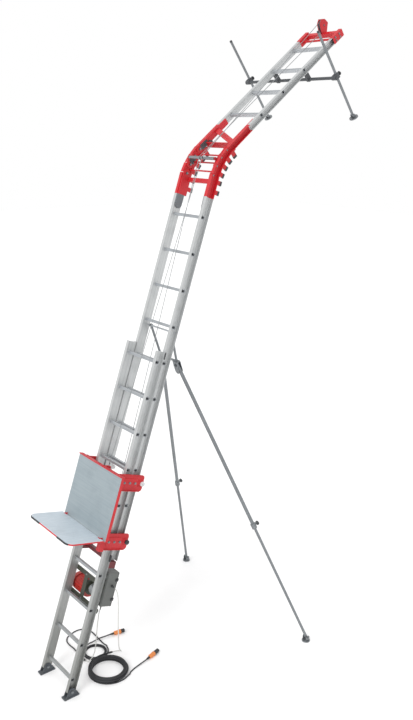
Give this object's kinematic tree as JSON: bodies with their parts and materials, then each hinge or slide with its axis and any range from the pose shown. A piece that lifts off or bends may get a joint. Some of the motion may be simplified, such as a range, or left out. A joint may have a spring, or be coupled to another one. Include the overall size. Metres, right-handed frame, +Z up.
{
  "type": "material hoist",
  "caption": "Leaning ladder hoist with a jointed knee, roof section, winch-driven carriage with a folding tray, splayed prop and roof support legs.",
  "frame": {"origin": "on the ground, midway between the two ladder feet", "axes": "+X to the right seen from the loading side, +Y from the ladder feet towards the building, +Z up"},
  "size_m": [2.032, 3.1971, 5.9703],
  "materials": {
    "rail_aluminium": "mill-finish extruded aluminium",
    "rung_aluminium": "ribbed extruded aluminium",
    "guide_nylon": "moulded black nylon",
    "foot_casting": "dark grey paint on a casting",
    "winch_red": "dark red paint, worn",
    "motor_red": "red enamel on a finned housing",
    "gear_case": "dark olive paint",
    "steel": "machined steel",
    "wire_rope": "galvanised wire rope",
    "box_grey": "textured grey plastic",
    "fitting_black": "black nylon",
    "lead_white": "pale sheathed cable",
    "cord_black": "black rubber cord",
    "plug_orange": "orange moulded rubber",
    "hoist_red": "red powder coat",
    "sheave_nylon": "grey cast nylon",
    "support_dark": "dark grey paint",
    "zinc_steel": "zinc-plated tube",
    "panel_sheet": "pale blue-grey coated sheet",
    "tray_sheet": "pale sheet with fine ribs",
    "lip_rubber": "black rubber edging",
    "roller_nylon": "white nylon"
  },
  "bodies": {
    "base": {"lower_rails": "rail_aluminium", "lower_rungs": "rung_aluminium", "lower_guides": "guide_nylon", "stop_bar": "winch_red", "winch_frame": "gear_case", "motor_housing": "motor_red", "gearbox_housing": "gear_case", "gearbox_cover": "gear_case", "control_box": "box_grey", "cord_fittings": "fitting_black", "lead_supply": "lead_white", "lead_pendant": "lead_white", "coil_large": "cord_black", "coil_small": "cord_black", "cord_loop": "cord_black", "cord_tails": "cord_black", "cord_plugs": "plug_orange"},
    "drum": {"winch_drum": "gear_case", "drum_shaft": "steel", "drum_winding": "wire_rope"},
    "rotor": {"motor_pinion": "steel"},
    "ladder_foot_left": {"ladder_foot_left": "foot_casting"},
    "ladder_foot_right": {"ladder_foot_right": "foot_casting"},
    "upper": {"upper_rails": "rail_aluminium", "upper_rungs": "rung_aluminium", "upper_guides": "guide_nylon", "knee_base": "hoist_red", "rope_haul": "wire_rope", "rope_load": "wire_rope"},
    "link_1": {"knee_link_1": "hoist_red", "knee_pins_lower": "steel"},
    "link_2": {"knee_link_2": "hoist_red", "knee_guide": "steel"},
    "link_3": {"knee_link_3": "hoist_red", "knee_pins_upper": "steel"},
    "roof": {"roof_sleeve": "hoist_red", "roof_rails": "rail_aluminium", "roof_rungs": "rung_aluminium", "head_bracket": "hoist_red", "roof_bar": "support_dark", "rope_roof": "wire_rope"},
    "sheave": {"head_sheave": "sheave_nylon"},
    "roof_leg_left": {"roof_leg_left": "zinc_steel"},
    "roof_leg_right": {"roof_leg_right": "zinc_steel"},
    "roof_pad_left": {"roof_pad_left": "zinc_steel"},
    "roof_pad_right": {"roof_pad_right": "zinc_steel"},
    "carriage": {"carriage_frame": "hoist_red", "back_panel": "panel_sheet"},
    "rollers_upper": {"guide_rollers_upper": "roller_nylon"},
    "rollers_lower": {"guide_rollers_lower": "roller_nylon"},
    "platform": {"platform_floor": "tray_sheet", "platform_rim": "hoist_red", "platform_lip": "lip_rubber"},
    "prop_yoke": {"prop_yoke": "zinc_steel"},
    "prop_leg_left": {"prop_leg_left": "zinc_steel"},
    "prop_leg_right": {"prop_leg_right": "zinc_steel"},
    "prop_inner_left": {"prop_inner_left": "zinc_steel"},
    "prop_inner_right": {"prop_inner_right": "zinc_steel"},
    "prop_foot_left": {"prop_foot_left": "zinc_steel"},
    "prop_foot_right": {"prop_foot_right": "zinc_steel"}
  },
  "joints": [
    {"name": "ladder_extension", "type": "slide", "parent": "base", "child": "upper", "axis": [0, 0.314, 0.9494], "range_m": [0, 1.65], "deforming": ["rope_haul"]},
    {"name": "knee_1", "type": "hinge", "parent": "upper", "child": "link_1", "pos_m": [0, 1.59951, 4.55303], "axis": [1, 0, 0], "range_deg": [0, 8.38], "deforming": ["rope_roof"]},
    {"name": "knee_2", "type": "hinge", "parent": "link_1", "child": "link_2", "pos_m": [0, 1.63858, 4.63077], "axis": [1, 0, 0], "range_deg": [0, 8.38], "deforming": ["rope_roof"]},
    {"name": "knee_3", "type": "hinge", "parent": "link_2", "child": "link_3", "pos_m": [0, 1.68855, 4.70198], "axis": [1, 0, 0], "range_deg": [0, 8.38], "deforming": ["rope_roof"]},
    {"name": "knee_4", "type": "hinge", "parent": "link_3", "child": "roof", "pos_m": [0, 1.74837, 4.76515], "axis": [1, 0, 0], "range_deg": [0, 8.38], "deforming": ["rope_roof"]},
    {"name": "sheave_spin", "type": "hinge", "parent": "roof", "child": "sheave", "pos_m": [0, 3.08286, 5.91376], "axis": [1, 0, 0], "range_deg": [-3152.7, 0]},
    {"name": "carriage_lift", "type": "slide", "parent": "upper", "child": "carriage", "axis": [0, 0.314, 0.9494], "range_m": [0, 2.45], "deforming": ["rope_load"]},
    {"name": "rollers_upper_spin", "type": "hinge", "parent": "carriage", "child": "rollers_upper", "pos_m": [0, 0.78445, 1.88818], "axis": [1, 0, 0], "range_deg": [0, 7023.7]},
    {"name": "rollers_lower_spin", "type": "hinge", "parent": "carriage", "child": "rollers_lower", "pos_m": [0, 0.61238, 1.3679], "axis": [1, 0, 0], "range_deg": [0, 7023.7]},
    {"name": "platform_fold", "type": "hinge", "parent": "carriage", "child": "platform", "pos_m": [0, 0.31362, 1.51199], "axis": [-1, 0, 0], "range_deg": [0, 90]},
    {"name": "drum_spin", "type": "hinge", "parent": "base", "child": "drum", "pos_m": [0, 0.40149, 0.85729], "axis": [1, 0, 0], "range_deg": [0, 2947.4]},
    {"name": "motor_spin", "type": "hinge", "parent": "base", "child": "rotor", "pos_m": [-0.038, 0.4158, 0.80533], "axis": [1, 0, 0], "range_deg": [-7606.1, 0]},
    {"name": "ladder_foot_swivel_left", "type": "hinge", "parent": "base", "child": "ladder_foot_left", "pos_m": [-0.223, 0.01978, 0.05981], "axis": [1, 0, 0], "range_deg": [-15, 15]},
    {"name": "ladder_foot_swivel_right", "type": "hinge", "parent": "base", "child": "ladder_foot_right", "pos_m": [0.223, 0.01978, 0.05981], "axis": [1, 0, 0], "range_deg": [-15, 15]},
    {"name": "prop_swing", "type": "hinge", "parent": "upper", "child": "prop_yoke", "pos_m": [0, 1.18337, 3.20555], "axis": [1, 0, 0], "range_deg": [-20, 0]},
    {"name": "prop_splay_left", "type": "hinge", "parent": "prop_yoke", "child": "prop_leg_left", "pos_m": [-0.115, 1.28121, 2.88038], "axis": [0, 0.9421, 0.3353], "range_deg": [-15.97, 0]},
    {"name": "prop_extend_left", "type": "slide", "parent": "prop_leg_left", "child": "prop_inner_left", "axis": [-0.2751, 0.3224, -0.9057], "range_m": [0, 0.5]},
    {"name": "prop_foot_swivel_left", "type": "hinge", "parent": "prop_inner_left", "child": "prop_foot_left", "pos_m": [-0.976, 2.29, 0.046], "axis": [1, 0, 0], "range_deg": [-20, 20]},
    {"name": "prop_splay_right", "type": "hinge", "parent": "prop_yoke", "child": "prop_leg_right", "pos_m": [0.115, 1.28121, 2.88038], "axis": [0, 0.9421, 0.3353], "range_deg": [0, 15.97]},
    {"name": "prop_extend_right", "type": "slide", "parent": "prop_leg_right", "child": "prop_inner_right", "axis": [0.2751, 0.3224, -0.9057], "range_m": [0, 0.5]},
    {"name": "prop_foot_swivel_right", "type": "hinge", "parent": "prop_inner_right", "child": "prop_foot_right", "pos_m": [0.976, 2.29, 0.046], "axis": [1, 0, 0], "range_deg": [-20, 20]},
    {"name": "roof_leg_slide_left", "type": "slide", "parent": "roof", "child": "roof_leg_left", "axis": [0, 0.6181, -0.7861], "range_m": [-0.34, 0.34]},
    {"name": "roof_pad_swivel_left", "type": "hinge", "parent": "roof_leg_left", "child": "roof_pad_left", "pos_m": [-0.625, 3.00444, 5.09136], "axis": [1, 0, 0], "range_deg": [-25, 25]},
    {"name": "roof_leg_slide_right", "type": "slide", "parent": "roof", "child": "roof_leg_right", "axis": [0, 0.6181, -0.7861], "range_m": [-0.34, 0.34]},
    {"name": "roof_pad_swivel_right", "type": "hinge", "parent": "roof_leg_right", "child": "roof_pad_right", "pos_m": [0.515, 3.00444, 5.09136], "axis": [1, 0, 0], "range_deg": [-25, 25]}
  ],
  "couplings": [
    {"joint": "drum_spin", "follows": "carriage_lift", "rad_per_m": 20.961},
    {"joint": "motor_spin", "follows": "carriage_lift", "rad_per_m": -54.149},
    {"joint": "sheave_spin", "follows": "carriage_lift", "rad_per_m": -22.424},
    {"joint": "rollers_upper_spin", "follows": "carriage_lift", "rad_per_m": 50},
    {"joint": "rollers_lower_spin", "follows": "carriage_lift", "rad_per_m": 50}
  ]
}
